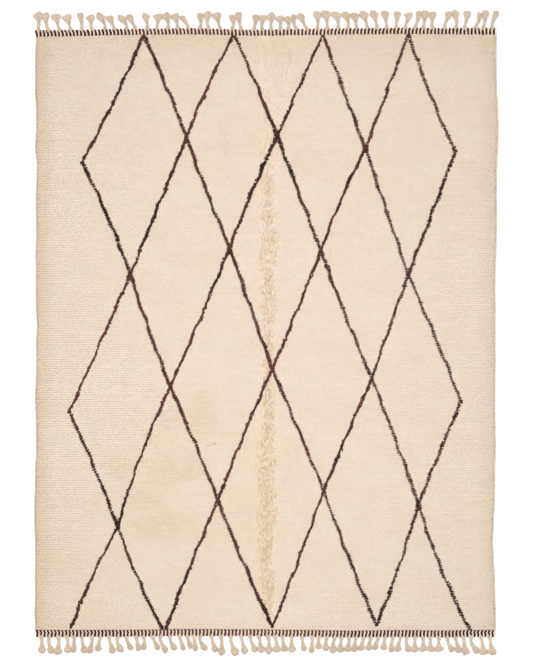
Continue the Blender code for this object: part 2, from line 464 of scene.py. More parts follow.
class RugPile(bpy.types.PropertyGroup):
    """The knotted pile and its lattice."""

    across: bpy.props.FloatProperty(
        name="Lock pitch across", description="From one lock of wool to the next along a row of knots",
        default=0.0062, min=0.004, max=0.03, unit="LENGTH",
    )
    along: bpy.props.FloatProperty(
        name="Row pitch", description="From one row of knots to the next",
        default=0.0129, min=0.009, max=0.03, unit="LENGTH",
    )
    lock: bpy.props.FloatProperty(
        name="Lock height", description="Height of the part of a lock of wool that can be seen",
        default=0.0042, min=0.002, max=0.02, unit="LENGTH",
    )
    combed: bpy.props.FloatProperty(
        name="Lock length", description="Length of a lock of wool as it lies combed over the next",
        default=0.0220, min=0.01, max=0.05, unit="LENGTH",
    )
    lie: bpy.props.FloatProperty(
        name="Lie of the pile", description="How far the locks point to the left of straight down the rug",
        default=math.radians(24), min=-0.8, max=0.8, unit="ROTATION",
    )
    bare: bpy.props.FloatProperty(
        name="Tip height", description="How far the tips stand above the packed wool between them",
        default=0.0022, min=0.001, max=0.01, unit="LENGTH",
    )
    line: bpy.props.FloatProperty(
        name="Line width", description="Width of the lattice's lines",
        default=0.0186, min=0.01, max=0.06, unit="LENGTH",
    )
    ivory: bpy.props.FloatVectorProperty(
        name="Ivory wool", description="Undyed wool of the field",
        default=(0.864, 0.729, 0.617, 1.0), size=4, min=0, max=1, subtype="COLOR",
    )
    cream: bpy.props.FloatVectorProperty(
        name="Yellower wool", description="Undyed wool where it is yellower",
        default=(0.854, 0.706, 0.546, 1.0), size=4, min=0, max=1, subtype="COLOR",
    )
    margin: bpy.props.FloatVectorProperty(
        name="Margin wool", description="Undyed wool along the edges, where it is darker",
        default=(0.730, 0.575, 0.400, 1.0), size=4, min=0, max=1, subtype="COLOR",
    )
    parting: bpy.props.FloatVectorProperty(
        name="Furrow wool", description="Wool in the furrow, where its roots show",
        default=(0.600, 0.410, 0.225, 1.0), size=4, min=0, max=1, subtype="COLOR",
    )
    plum: bpy.props.FloatVectorProperty(
        name="Plum wool", description="The lattice's redder wool",
        default=(0.142, 0.042, 0.040, 1.0), size=4, min=0, max=1, subtype="COLOR",
    )
    umber: bpy.props.FloatVectorProperty(
        name="Umber wool", description="The lattice's near-black wool",
        default=(0.040, 0.019, 0.014, 1.0), size=4, min=0, max=1, subtype="COLOR",
    )


class RugEdges(bpy.types.PropertyGroup):
    """The bound sides and the twined ends."""

    wrap: bpy.props.FloatProperty(
        name="Wrap pitch", description="From one turn of the side's binding yarn to the next",
        default=0.0125, min=0.006, max=0.03, unit="LENGTH",
    )
    top_pitch: bpy.props.FloatProperty(
        name="Top band pitch", description="From one dark bar of the top band to the next",
        default=0.0202, min=0.01, max=0.04, unit="LENGTH",
    )
    bottom_pitch: bpy.props.FloatProperty(
        name="Bottom band pitch", description="From one dark bar of the bottom band to the next",
        default=0.0199, min=0.01, max=0.04, unit="LENGTH",
    )
    dark: bpy.props.FloatVectorProperty(
        name="Dark yarn", description="The bands' dark yarn",
        default=(0.024, 0.009, 0.006, 1.0), size=4, min=0, max=1, subtype="COLOR",
    )
    plum: bpy.props.FloatVectorProperty(
        name="Plum yarn", description="The bands' dark yarn where it is redder",
        default=(0.105, 0.036, 0.032, 1.0), size=4, min=0, max=1, subtype="COLOR",
    )
    pale: bpy.props.FloatVectorProperty(
        name="Pale yarn", description="The bands' undyed yarn",
        default=(0.755, 0.607, 0.520, 1.0), size=4, min=0, max=1, subtype="COLOR",
    )


class RugTassels(bpy.types.PropertyGroup):
    """The knotted tassels."""

    ply: bpy.props.FloatProperty(
        name="Ply radius", description="Radius of one of the cord's three plies",
        default=0.0047, min=0.002, max=0.01, unit="LENGTH",
    )
    turns: bpy.props.FloatProperty(
        name="Turns", description="Turns that the plies make between the band and the knot",
        default=1.6, min=0, max=8,
    )
    fan: bpy.props.FloatProperty(
        name="Brush width", description="Width of the loose ends at the tip",
        default=0.040, min=0.01, max=0.08, unit="LENGTH",
    )
    yarn: bpy.props.FloatVectorProperty(
        name="Warp yarn", description="Undyed warp yarn",
        default=(0.595, 0.478, 0.372, 1.0), size=4, min=0, max=1, subtype="COLOR",
    )
    deep: bpy.props.FloatVectorProperty(
        name="Warp shade", description="Warp yarn where it is darker",
        default=(0.514, 0.396, 0.292, 1.0), size=4, min=0, max=1, subtype="COLOR",
    )


class RugStage(bpy.types.PropertyGroup):
    """The camera, lights and floor."""

    lens: bpy.props.FloatProperty(
        name="Lens", description="Focal length in millimetres", default=100.0, min=20, max=300,
    )
    height: bpy.props.FloatProperty(
        name="Camera height", description="Camera above the floor",
        default=10.028, min=2, max=40, unit="LENGTH",
    )
    sky: bpy.props.FloatProperty(
        name="Sky strength", description="Strength of the even light all round",
        default=1.22, min=0, max=5,
    )
    key: bpy.props.FloatProperty(
        name="Key strength", description="Strength of the broad soft light from the top left",
        default=0.90, min=0, max=10,
    )
    floor: bpy.props.FloatVectorProperty(
        name="Floor", description="Colour of the plain floor",
        default=(0.93, 0.93, 0.93, 1.0), size=4, min=0, max=1, subtype="COLOR",
    )


# ---------------------------------------------------------------- the rug's own shape


def eased(table, at, column):
    """A column of a table, read smoothly between its rows, for an array of places."""
    rows = np.array(sorted(table))
    places, values = rows[:, 0], rows[:, column]
    at = np.clip(at, places[0], places[-1])
    high = np.clip(np.searchsorted(places, at), 1, len(rows) - 1)
    share = (at - places[high - 1]) / (places[high] - places[high - 1])
    share = share * share * (3 - 2 * share)
    return values[high - 1] * (1 - share) + values[high] * share


def placed(x, y):
    """Where points of an even rug lie in the real one, whose edges wander."""
    across = (x / HALF_WIDTH + 1) / 2
    along = (y / TOP_EDGE + 1) / 2
    left, right = eased(SIDES, y, 1), eased(SIDES, y, 2)
    bottom, top = eased(ENDS, x, 1), eased(ENDS, x, 2)
    return x + left * (1 - across) - right * across, y + bottom * (1 - along) - top * along


def furrow_share(x, y):
    """How strongly the pile is drawn into the furrow or its branch, and how far aside of it one is."""
    shares, sides = [], []
    for path in (FURROW, FURROW_BRANCH):
        steps = np.array(sorted(path))
        middle, half, strength = (np.interp(y, steps[:, 0], steps[:, i]) for i in (1, 2, 3))
        strength = np.where((y > steps[0, 0] - 0.02) & (y < steps[-1, 0] + 0.02), strength, 0)
        # its middle and its width waver along the rug
        aside = x - middle - 0.003 * np.sin(13 * y + 1)
        half = half * (0.94 + 0.10 * np.sin(17 * y))
        shares.append(strength * np.clip(1.6 - 1.5 * np.abs(aside) / half, 0, 1))
        sides.append(aside)
    return np.maximum(*shares), np.where(shares[1] > shares[0], sides[1], sides[0])


def sunk(x, y):
    """How far the pile lies below its full height: its furrow and its soft lumps."""
    wide = np.clip(1 - np.abs(x - FURROW_X) / FURROW_HALF, 0, 1)
    fade = np.cos(math.pi / 2 * np.clip(np.abs(y) / FURROW_LENGTH, 0, 1)) ** 0.5
    wave = np.sin(9.1 * x + 2.3 * y) * np.sin(7.3 * y - 1.7 * x)
    return FURROW_DEPTH * wide * fade + LUMPS * (0.5 + 0.5 * wave)


def inside_pile(x, y):
    """How far points of the even rug lie inwards from the edge of the pile."""
    end = np.where(y > 0, TOP_EDGE, BOTTOM_EDGE) - BAND - np.abs(y)
    return np.minimum(PILE_HALF - np.abs(x), end)


def pile_height(x, y):
    """Height of the pile's tips at points of the even rug."""
    inwards, heights = np.array(SHOULDER).T
    return np.interp(inside_pile(x, y), inwards, heights) - sunk(x, y)


def off_patch(x, y, patch):
    """How far points are from the middle of a patch, in shares of its reach."""
    middle_x, middle_y, reach_x, reach_y = patch
    return np.hypot((x - middle_x) / reach_x, (y - middle_y) / reach_y)


def bump(x, low, high):
    """0 below low and 1 above high, with a smooth rise between."""
    share = np.clip((x - low) / (high - low), 0, 1)
    return share * share * (3 - 2 * share)


# ---------------------------------------------------------------- modelling tools


def start_object(name):
    """Names the primitive that was just added, which is the active object."""
    obj = bpy.context.active_object
    obj.name = name
    obj.data.name = name
    return obj


def deselect():
    """Nothing is selected, so an operator acts only on what it is given."""
    bpy.ops.object.select_all(action="DESELECT")


def pick(obj):
    """Selects one object alone and makes it the active one."""
    deselect()
    obj.select_set(True)
    bpy.context.view_layer.objects.active = obj


def points_of(obj):
    """The places of an object's vertices."""
    return np.array([vertex.co for vertex in obj.data.vertices])


def move_points(obj, points):
    """Puts an object's vertices at new places."""
    obj.data.vertices.foreach_set("co", points.astype(np.float32).ravel())
    obj.data.update()


def face_outwards():
    """Selects and turns outwards every face of the object in edit mode."""
    bpy.ops.mesh.select_all(action="SELECT")
    bpy.ops.mesh.normals_make_consistent(inside=False)


def pick_faces(obj, wanted):
    """Goes into edit mode with the faces selected whose middle and normal pass a test."""
    bpy.ops.object.mode_set(mode="EDIT")
    bpy.ops.mesh.select_mode(type="FACE")
    bpy.ops.mesh.select_all(action="DESELECT")
    bpy.ops.object.mode_set(mode="OBJECT")
    for face in obj.data.polygons:
        face.select = wanted(face.center, face.normal)
    bpy.ops.object.mode_set(mode="EDIT")


def settle(obj):
    """Puts an object's place, turn and size into its mesh."""
    if bpy.context.mode != "OBJECT":
        bpy.ops.object.mode_set(mode="OBJECT")
    pick(obj)
    bpy.ops.object.transform_apply(location=True, rotation=True, scale=True)


class Form:
    """A small shape that is modelled once and copied many times."""

    def __init__(self, parts):
        """Joins the modelled parts, unwraps them and takes them out of the scene."""
        for part in parts:
            settle(part)
        pick(parts[0])
        for part in parts[1:]:
            part.select_set(True)
        if len(parts) > 1:
            bpy.ops.object.join()
        obj = bpy.context.active_object
        bpy.ops.object.mode_set(mode="EDIT")
        face_outwards()
        bpy.ops.uv.smart_project(angle_limit=math.radians(66), island_margin=0.02)
        bpy.ops.object.mode_set(mode="OBJECT")
        mesh = obj.data
        self.points = points_of(obj)
        self.loops = np.array([loop.vertex_index for loop in mesh.loops])
        self.totals = np.array([face.loop_total for face in mesh.polygons])
        self.uv = np.array([corner.uv for corner in mesh.uv_layers.active.data])
        bpy.data.objects.remove(obj, do_unlink=True)


def join_copies(name, form, points, values, cells_across=0):
    """One mesh from many copies of a form.

    points has each copy's own vertices, and values has named numbers, one for each copy. Each
    copy has its own cell of the UV map, so nothing overlaps there.
    """
    count, size = points.shape[:2]
    corners = len(form.loops)
    mesh = bpy.data.meshes.new(name)
    mesh.vertices.add(count * size)
    mesh.vertices.foreach_set("co", points.astype(np.float32).ravel())
    numbers = np.arange(count)
    mesh.loops.add(count * corners)
    mesh.loops.foreach_set("vertex_index", (form.loops + size * numbers[:, None]).ravel())
    starts = np.concatenate([[0], np.cumsum(form.totals)[:-1]])
    mesh.polygons.add(count * len(form.totals))
    mesh.polygons.foreach_set("loop_start", (starts + corners * numbers[:, None]).ravel())
    mesh.update(calc_edges=True)
    across = cells_across or math.ceil(math.sqrt(count))
    down = math.ceil(count / across)
    cell = np.stack([numbers % across, numbers // across], 1)[:, None]
    uv = (cell + 0.05 + 0.9 * form.uv) / (across, down)
    layer = mesh.uv_layers.new(name="OFBake")
    layer.data.foreach_set("uv", uv.astype(np.float32).ravel())
    for key, numbers_of in values.items():
        attribute = mesh.attributes.new(key, "FLOAT", "POINT")
        spread = numbers_of if numbers_of.ndim == 2 else np.repeat(numbers_of[:, None], size, 1)
        attribute.data.foreach_set("value", spread.astype(np.float32).ravel())
    mesh.validate()
    obj = bpy.data.objects.new(name, mesh)
    bpy.context.scene.collection.objects.link(obj)
    pick(obj)
    bpy.ops.object.shade_smooth()
    return obj


def finish_piece(obj, material, slot, *nodes):
    """A piece gets its material and its place in the frame."""
    obj.data.materials.clear()
    obj.data.materials.append(material)
    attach(obj, "root")
    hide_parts(*nodes)


def shades(count, random):
    """How pale each copy is in its own colour, from -1 to 1."""
    return np.clip(0.5 * random.standard_normal(count), -1, 1)


def turned(points, angle):
    """Points turned about Z, each copy by its own angle."""
    cos, sin = np.cos(angle)[:, None], np.sin(angle)[:, None]
    x, y = points[..., 0], points[..., 1]
    return np.stack([x * cos - y * sin, x * sin + y * cos, points[..., 2]], -1)


# ---------------------------------------------------------------- shader tools


class Reading:
    """A shader socket that sums are written with, with numbers or sockets on either side."""

    def __init__(self, finish, socket):
        self.finish = finish
        self.socket = socket

    def _math(self, operation, first, second):
        return self.finish.add("ShaderNodeMath", {"operation": operation}, {0: first, 1: second})

    def __add__(self, other):
        return self._math("ADD", self, other)

    def __radd__(self, other):
        return self._math("ADD", other, self)

    def __sub__(self, other):
        return self._math("SUBTRACT", self, other)

    def __rsub__(self, other):
        return self._math("SUBTRACT", other, self)

    def __mul__(self, other):
        return self._math("MULTIPLY", self, other)

    def __rmul__(self, other):
        return self._math("MULTIPLY", other, self)

    def __truediv__(self, other):
        return self._math("DIVIDE", self, other)

    def __abs__(self):
        return self._math("ABSOLUTE", self, 0.0)


class Finish:
    """A procedural material, made node by node round one Principled shader."""

    def __init__(self, name, roughness, sheen):
        self.material = bpy.data.materials.new(name)
        self.material.use_nodes = True
        self.tree = self.material.node_tree
        self.shader = self.tree.nodes["Principled BSDF"]
        self.shader.inputs["Roughness"].default_value = roughness
        self.shader.inputs["Specular IOR Level"].default_value = 0.12
        self.shader.inputs["Sheen Weight"].default_value = sheen
        self.shader.inputs["Sheen Roughness"].default_value = 0.6
        self.place = self.add("ShaderNodeTexCoord", output="Object")

    def add(self, kind, settings=None, inputs=None, output=0):
        """Adds any node: its settings first, then its sockets' values or links."""
        node = self.tree.nodes.new(kind)
        for key, value in (settings or {}).items():
            setattr(node, key, value)
        for key, value in (inputs or {}).items():
            self.join(value, node.inputs[key])
        return Reading(self, node.outputs[output])

    def join(self, value, socket):
        """Links a reading to a socket, or sets the socket to a plain value."""
        if isinstance(value, Reading):
            self.tree.links.new(value.socket, socket)
        else:
            socket.default_value = value

    def noise(self, scale, detail=2.0, stretch=(1, 1, 1)):
        """Soft noise from 0 to 1, with its own stretch along X, Y and Z."""
        place = self.place
        if stretch != (1, 1, 1):
            place = self.add("ShaderNodeMapping", None, {"Vector": place, "Scale": stretch})
        inputs = {"Vector": place, "Scale": scale, "Detail": detail}
        return self.add("ShaderNodeTexNoise", None, inputs)

    def wave(self, value):
        """The sine of a reading."""
        return self.add("ShaderNodeMath", {"operation": "SINE"}, {0: value})

    def off_patch(self, patch):
        """The square of how far a place is from the middle of a patch, in shares of its reach."""
        middle_x, middle_y, reach_x, reach_y = patch
        across, along = (self.axis("X") - middle_x) / reach_x, (self.axis("Y") - middle_y) / reach_y
        return across * across + along * along

    def named(self, name):
        """A number that the mesh holds for each copy."""
        return self.add("ShaderNodeAttribute", {"attribute_name": name}, output="Fac")

    def axis(self, name):
        """One coordinate of the place."""
        return self.add("ShaderNodeSeparateXYZ", None, {0: self.place}, output=name)

    def rise(self, value, low, high):
        """0 where the value is at low and 1 where it is at high, and smooth between."""
        return self.add(
            "ShaderNodeMapRange", {"interpolation_type": "SMOOTHSTEP"},
            {"Value": value, "From Min": low, "From Max": high},
        )

    def blend(self, share, first, second):
        """A mix of two colours."""
        return self.add("ShaderNodeMix", {"data_type": "RGBA"}, {0: share, 6: first, 7: second}, output=2)

    def scaled(self, colour, factor):
        """A colour made lighter or darker."""
        return self.add("ShaderNodeVectorMath", {"operation": "SCALE"}, {0: colour, "Scale": factor})

    def softened(self, share):
        """The surface's direction turned part of the way upwards, as light spreads through wool."""
        normal = self.add("ShaderNodeNewGeometry", output="Normal")
        upright = {0: share, 4: normal, 5: (0, 0, 1)}
        mixed = self.add("ShaderNodeMix", {"data_type": "VECTOR"}, upright, output=1)
        return self.add("ShaderNodeVectorMath", {"operation": "NORMALIZE"}, {0: mixed})

    def finish(self, colour, height, distance, roughness=None, soft=0.0):
        """Gives the shader its colour, its relief and, if it varies, its roughness."""
        self.join(colour, self.shader.inputs["Base Color"])
        if roughness is not None:
            self.join(roughness, self.shader.inputs["Roughness"])
        inputs = {"Strength": 0.6, "Distance": distance, "Height": height}
        if soft:
            inputs["Normal"] = self.softened(soft)
        relief = self.add("ShaderNodeBump", None, inputs)
        self.join(relief, self.shader.inputs["Normal"])
        return self.material


def mottled(finish, pile):
    """Ivory wool with yellower blotches, more of them in the patches of the table."""
    blotch = finish.rise(finish.noise(3.4, 5.0, (1.0, 1.8, 1.0)), 0.40, 0.62)
    colour = finish.blend(blotch * 0.6, tuple(pile.ivory), tuple(pile.cream))
    cloudy = finish.rise(finish.noise(6.0, 4.0, (1.0, 1.6, 1.0)), 0.34, 0.60)
    for *patch, share in YELLOW_PATCHES:
        near = finish.rise(finish.off_patch(patch), 1.0, 0.0)
        colour = finish.blend(near * cloudy * share, colour, tuple(pile.cream))
    return colour


def field_colour(finish, pile):
    """The undyed wool's colour over the whole rug: mottled, streaked, darker outwards, and with painted
    shade in the gaps between rows in the ochre patches.
    """
    colour = mottled(finish, pile)
    ragged = (finish.noise(9.0, 3.0) - 0.5) * 0.08
    for axis, way, begins, full, share in DARKER_EDGES:
        edge = finish.rise(finish.axis(axis) + ragged * way, begins, full)
        colour = finish.blend(edge * share, colour, tuple(pile.margin))
    # in the ochre patches the colour deepens at each gap between rows of knots: partly tanner wool, partly
    # painted shade in the gaps
    rows = finish.wave(finish.axis("Y") * (2 * math.pi / pile.along) + ragged * 40)
    broken = finish.rise(finish.noise(1.0, 3.0, (16.0, 50.0, 1.0)), 0.36, 0.56)
    deeper = finish.rise(rows, -0.6, 0.8) * broken
    for patch in OCHRE_STREAKS:
        near = finish.rise(finish.off_patch(patch) + ragged * 18, 1.3, 0.1)
        colour = finish.blend(near * (0.06 + 0.62 * deeper), colour, tuple(pile.margin))
    streaks = finish.noise(1.0, 2.0, (4.0, 80.0, 1.0)) - 0.5
    x, y = finish.axis("X"), finish.axis("Y")
    outwards = x * x * 0.040 + y * y * 0.018
    return finish.scaled(colour, 0.980 + 0.11 * streaks - outwards)


def ivory_finish(pile):
    """Undyed wool of the pile: matt, with fine crimped fibres, tanner strands in the furrow and painted
    warm shade towards the roots of the locks.
    """
    finish = Finish("ivory_wool_pile", 0.92, 0.2)
    colour = finish.blend(finish.named("tan"), field_colour(finish, pile), tuple(pile.parting))
    colour = finish.scaled(colour, 1.0 + 0.03 * finish.named("shade"))
    # painted shade: each lock's root is tinted towards the darker margin wool, standing in for the warm
    # shade between the locks
    colour = finish.blend(0.25 - 0.25 * finish.named("depth"), colour, tuple(pile.margin))
    fibres = finish.noise(700.0, 3.0)
    return finish.finish(colour, fibres, 0.0006, 0.86 + 0.12 * finish.noise(40.0), 0.42)


def dark_finish(pile):
    """The lattice's dyed wool: plum in the middle of the rug, near black towards its corners, with painted
    shade towards the roots of the locks.
    """
    finish = Finish("dark_wool_pile", 0.90, 0.04)
    colour = finish.blend(finish.named("plum"), tuple(pile.umber), tuple(pile.plum))
    colour = finish.scaled(colour, 1.0 + 0.20 * finish.named("shade"))
    # painted shade: each lock is darker towards its root
    colour = finish.scaled(colour, 0.85 + 0.15 * finish.named("depth"))
    fibres = finish.noise(700.0, 3.0)
    return finish.finish(colour, fibres, 0.0006, 0.84 + 0.12 * finish.noise(40.0), 0.4)


def ground_finish(pile):
    """The woven ground: packed wool between the locks above, and ribbed weave below."""
    finish = Finish("woven_ground", 0.95, 0.1)
    x, y = finish.axis("X"), finish.axis("Y")
    wander = (finish.noise(6.0) - 0.5) * 0.03
    off = abs(x - FURROW_X + wander)
    furrow = finish.rise(off, 0.050, 0.010) * finish.rise(abs(y + 0.45), 1.45, 0.5)
    colour = finish.blend(furrow * 0.5, field_colour(finish, pile), tuple(pile.parting))
    rib = 2 * math.pi / RIB
    pick = rib * 0.43  # the picks lie wider apart than the ribs
    weave = (finish.wave(x * rib) * finish.wave(y * pick)) * 0.5 + 0.5
    # painted shade: the cloth is darker in the hollows of its weave, following its relief
    colour = finish.scaled(colour, 0.90 + 0.12 * weave)
    relief = weave + 0.4 * finish.noise(600.0)
    return finish.finish(colour, relief, 0.0012, 0.88 + 0.10 * finish.noise(50.0))


def yarn_finish(name, light, deep, share=0.7, sheen=0.2):
    """Spun yarn, with a twist of fibres, small random changes of shade and painted shade in the grooves of
    the twist.

    share is how far the second colour shows in patches, or None where the mesh says how far.
    """
    finish = Finish(name, 0.9, sheen)
    if share is None:
        mixed = finish.named("second")
    else:
        mixed = share * finish.rise(finish.noise(70.0, 3.0), 0.3, 0.7)
    colour = finish.blend(mixed, light, deep)
    colour = finish.scaled(colour, 0.99 + 0.11 * finish.named("shade"))
    slanted = finish.axis("X") + 0.8 * finish.axis("Y") + 0.0012 * finish.noise(90.0)
    twist = finish.wave(slanted * (2 * math.pi / TWIST))
    # painted shade: the yarn is darker in the grooves of its twist, following its relief
    colour = finish.scaled(colour, 0.985 + 0.03 * twist)
    fibres = finish.noise(520.0, 3.0, (1.0, 0.35, 1.0))
    return finish.finish(colour, twist * 0.35 + fibres, 0.0008, 0.82 + 0.14 * finish.noise(60.0))


# ---------------------------------------------------------------- the pieces


def rim(edge, flat):
    """Places from an edge of the cloth inwards, over its flat strip and up the pile's shoulder."""
    side = math.copysign(1, edge)
    insets = [0.0, flat] + [flat + inwards for inwards, _ in SHOULDER if inwards > 0]
    return [edge - side * inset for inset in insets]


def stations(low_edge, high_edge, flat, pitch):
    """Places across the rug one way: a rim, even cells and a rim."""
    low, high = rim(low_edge, flat), rim(high_edge, flat)[::-1]
    cells = math.ceil((high[0] - low[-1]) / pitch)
    inner = np.linspace(low[-1], high[0], cells + 1)
    return np.concatenate([low[:-1], inner, high[1:]])


def ground_height(x, y, bare):
    """Height of the ground's upper side: flat at the edges and close under the tips elsewhere."""
    inwards = inside_pile(x, y)
    flat = WEAVE_THICK - 0.0015
    # lower along the edge of the pile, so that only locks show there
    lower = 0.004 * np.clip(1 - inwards / 0.018, 0, 1)
    under_tips = pile_height(x, y) - bare - lower
    return np.where(inwards < 0.001, flat, np.maximum(under_tips, flat))


def make_ground(pile):
    """The woven cloth from edge to edge, with the packed wool of the pile's lower half."""
    cell = 0.042
    across = stations(-HALF_WIDTH, HALF_WIDTH, SELVEDGE, cell)
    across = np.sort(np.concatenate([across, FURROW_X + FURROW_HALF * np.linspace(-1, 1, 5)]))
    along = stations(-BOTTOM_EDGE, TOP_EDGE, BAND, cell)
    deselect()
    bpy.ops.mesh.primitive_grid_add(
        x_subdivisions=len(across) - 1, y_subdivisions=len(along) - 1, size=2, location=(0, 0, 0)
    )
    obj = start_object("rug_ground")
    points = points_of(obj)
    column, row = (points[:, :2].T + 1) / 2 * [[len(across) - 1], [len(along) - 1]]
    x = across[np.rint(column).astype(int)]
    y = along[np.rint(row).astype(int)]
    real_x, real_y = placed(x, y)
    move_points(obj, np.stack([real_x, real_y, ground_height(x, y, pile.bare)], 1))
    # the upper side is extruded down and pressed flat, which closes the cloth
    pick_faces(obj, lambda middle, normal: True)
    bpy.ops.mesh.extrude_region_move(TRANSFORM_OT_translate={"value": (0, 0, -PILE_TOP)})
    bpy.ops.transform.resize(value=(1, 1, 0), center_override=(0, 0, UNDERSIDE))
    face_outwards()
    bpy.ops.object.mode_set(mode="OBJECT")
    bpy.ops.object.shade_smooth_by_angle(angle=math.radians(40))
    finish_piece(obj, ground_finish(pile), "ivory_wool", "rug_body")
    return obj


def lock_form():
    """One lock of wool, combed towards -Y: a root, a broad flat belly and a tip.

    It is 1 long, 1.7 wide and 0.75 high, and it lies just under 0.
    """
    deselect()
    bpy.ops.mesh.primitive_cone_add(
        vertices=3, radius1=1, radius2=0, depth=0.52, location=(0, -0.19, 0), rotation=(math.pi / 2, 0, 0)
    )
    obj = start_object("lock")
    settle(obj)
    pick_faces(obj, lambda middle, normal: normal.y > 0.9)
    bpy.ops.mesh.extrude_region_move(TRANSFORM_OT_translate={"value": (0, 0.48, 0.60)})
    bpy.ops.mesh.merge(type="CENTER")
    bpy.ops.mesh.select_all(action="SELECT")
    bpy.ops.transform.rotate(value=math.pi, orient_axis="Y", center_override=(0, 0, 0))
    bpy.ops.transform.resize(value=(1, 1, 0.5), center_override=(0, 0, 0))
    bpy.ops.transform.translate(value=(0, 0, -0.45))
    return Form([obj])


def lattice_lines():
    """Each line of the lattice: its ends, how far its middle strays and how thick it is."""
    for upper, lower, strays, thickness in zip(LATTICE, LATTICE[1:], STRAY, THICKNESS):
        pairs = [(high, low) for high in upper for low in lower if abs(high[0] - low[0]) < NEIGHBOURS]
        for (high, low), stray, thick in zip(pairs, strays, thickness):
            yield high, low, stray / 1000, np.array(thick) / 100


def on_line(line, y):
    """How far across the rug a line of the lattice is at places along it, and their share of it."""
    high, low, stray = line[:3]
    share = (high[1] - y) / (high[1] - low[1])
    inside = np.clip(share, 0, 1)
    wobble = 0.0032 * np.sin(31 * y + 9 * high[0]) + 0.0024 * np.sin(53 * y - 7 * low[0])
    wobble = wobble * np.sin(math.pi * inside) ** 0.5
    return high[0] + (low[0] - high[0]) * share + 4 * stray * inside * (1 - inside) + wobble, share


def lattice_distance(x, y):
    """Distance across the rug from each point to the nearest line of the lattice."""
    nearest = np.full(x.shape, 9.0)
    for line in lattice_lines():
        middle, share = on_line(line, y)
        beside = (share > -0.012) & (share <= 1.012)
        nearest = np.where(beside, np.minimum(nearest, np.abs(x - middle)), nearest)
    return nearest


def knot_rows(pile):
    """How far along the even rug each row of knots is."""
    rows = round((PILE_HIGH - PILE_LOW) / pile.along)
    return np.linspace(PILE_LOW + 0.007, PILE_HIGH - 0.006, rows)


def swelling(line, x, y, share, uneven):
    """How wide a line of the lattice is at places along it, in shares of the usual width."""
    high, low, _, thick = line
    reach = high[1] - low[1]
    swell = np.interp(share, THICK_AT, thick)
    swell = swell * (1 + 0.10 * np.sin(37 * y + 5 * x) + 0.10 * np.sin(83 * y - 11 * x))
    swell = swell + uneven
    # a line is broader where it meets others, but not where it runs out at an end band
    high_inside, low_inside = high[1] < NEAR_BAND, low[1] > -NEAR_BAND
    for inside, away in ((high_inside, share * reach), (low_inside, (1 - share) * reach)):
        swell = swell + 0.22 * inside * np.exp(-away / 0.03)
    # two lines that meet a little short of the bottom band thin out to a point
    if -AT_BAND < low[1] < -NEAR_BAND:
        swell = swell - 0.4 * np.exp(-(1 - share) * reach / 0.015)
    # one that runs with the lie of the pile is broader below a crossing
    if low[0] <= high[0] and high_inside:
        swell = swell + 0.12 * np.exp(-share * reach / 0.08)
    return swell


def saw_tooth(line, x, y):
    """How far a line stands out row by row, like the teeth of a saw: 0 for not at all, up to 1.

    It does so most where it runs against the lie of the pile, and in the right half of the rug.
    """
    high, low = line[:2]
    tooth = bump(np.sin(14 * y + 5 * high[0]) + 1.2 * bump(x, 0.3, 0.8), -0.9, -0.2)
    if low[0] > high[0]:
        tooth = tooth * (0.6 + 0.4 * bump(x, -0.1, 0.5))
    else:
        tooth = tooth * (0.8 * bump(x, 0.35, 0.75))
    return tooth * (1 - 0.7 * furrow_share(x, y)[0])


def line_rows(line, pile, under, toothed):
    """How far along the rug each row of a line's locks is.

    Its locks lie in rows of their own, two thirds of a knot row apart, but the upper ones of a
    toothed line lie in the rows of the pile.
    """
    high, low = line[:2]
    if under or not toothed:
        rows = round((high[1] - low[1]) * 1.5 / pile.along)
        return np.linspace(high[1], low[1], rows + 1)
    y = knot_rows(pile)
    y = placed(on_line(line, y)[0], y)[1]
    return y[(y > low[1]) & (y < high[1])]


def lattice_knots(pile, random):
    """The dark locks on the even rug: across, along, whether it lies below, width, length and turn.

    Every row has two or three locks side by side, and wide ones below shut out the pale wool.
    """
    found = []
    for line in lattice_lines():
        high, low = line[:2]
        against = low[0] > high[0]
        toothed = against or high[0] > 0.5
        loose = (0.0010 if against else 0.0016) if toothed else 0.0025
        for under, offsets in ((1.0, (0.0,)), (0.0, TOOTHED_LINE if toothed else PLAIN_LINE)):
            y = line_rows(line, pile, under, toothed)
            x, share = on_line(line, y)
            count = len(x)
            tooth = saw_tooth(line, x, y)
            uneven = 0.14 * tooth * random.standard_normal(count) * (1 - under)
            swell = swelling(line, x, y, share, uneven)
            for offset in offsets:
                astray = loose * random.standard_normal((2, count))
                found.append((
                    x + offset * pile.line * swell * (0.75 + 0.42 * tooth) + astray[0],
                    y + astray[1],
                    np.full(count, under),
                    swell * (1 - (0.03 + 0.31 * under) * tooth),
                    1 - 0.34 * tooth * (1 - under),
                    -0.36 * tooth * (1 - under),
                ))
    x, y, *shapes = (np.concatenate([part[i] for part in found]) for i in range(6))
    there_x, there_y = placed(x, y)
    x, y = 2 * x - there_x, 2 * y - there_y
    clear = (y > PILE_LOW + 0.005) & (y < PILE_HIGH - 0.004)
    return [part[clear] for part in (x, y, *shapes)]


def tan_strands(random):
    """The places of the tan strands that stand out of the furrow, in staggered rows."""
    pitch, row_pitch = 0.0108, 0.0165
    across, along = np.meshgrid(np.arange(-0.12, 0.20, pitch), np.arange(-1.60, 1.62, row_pitch))
    row = np.repeat(np.arange(len(across)), across.shape[1])
    x = across.ravel() + pitch / 2 * (row % 2) + 0.0014 * random.standard_normal(across.size)
    y = along.ravel() + 0.0050 * random.standard_normal(across.size)
    kept = random.random(x.size) < 0.15 + 0.85 * furrow_share(x, y)[0]
    kept &= furrow_share(x, y)[0] > 0.12
    return x[kept], y[kept]


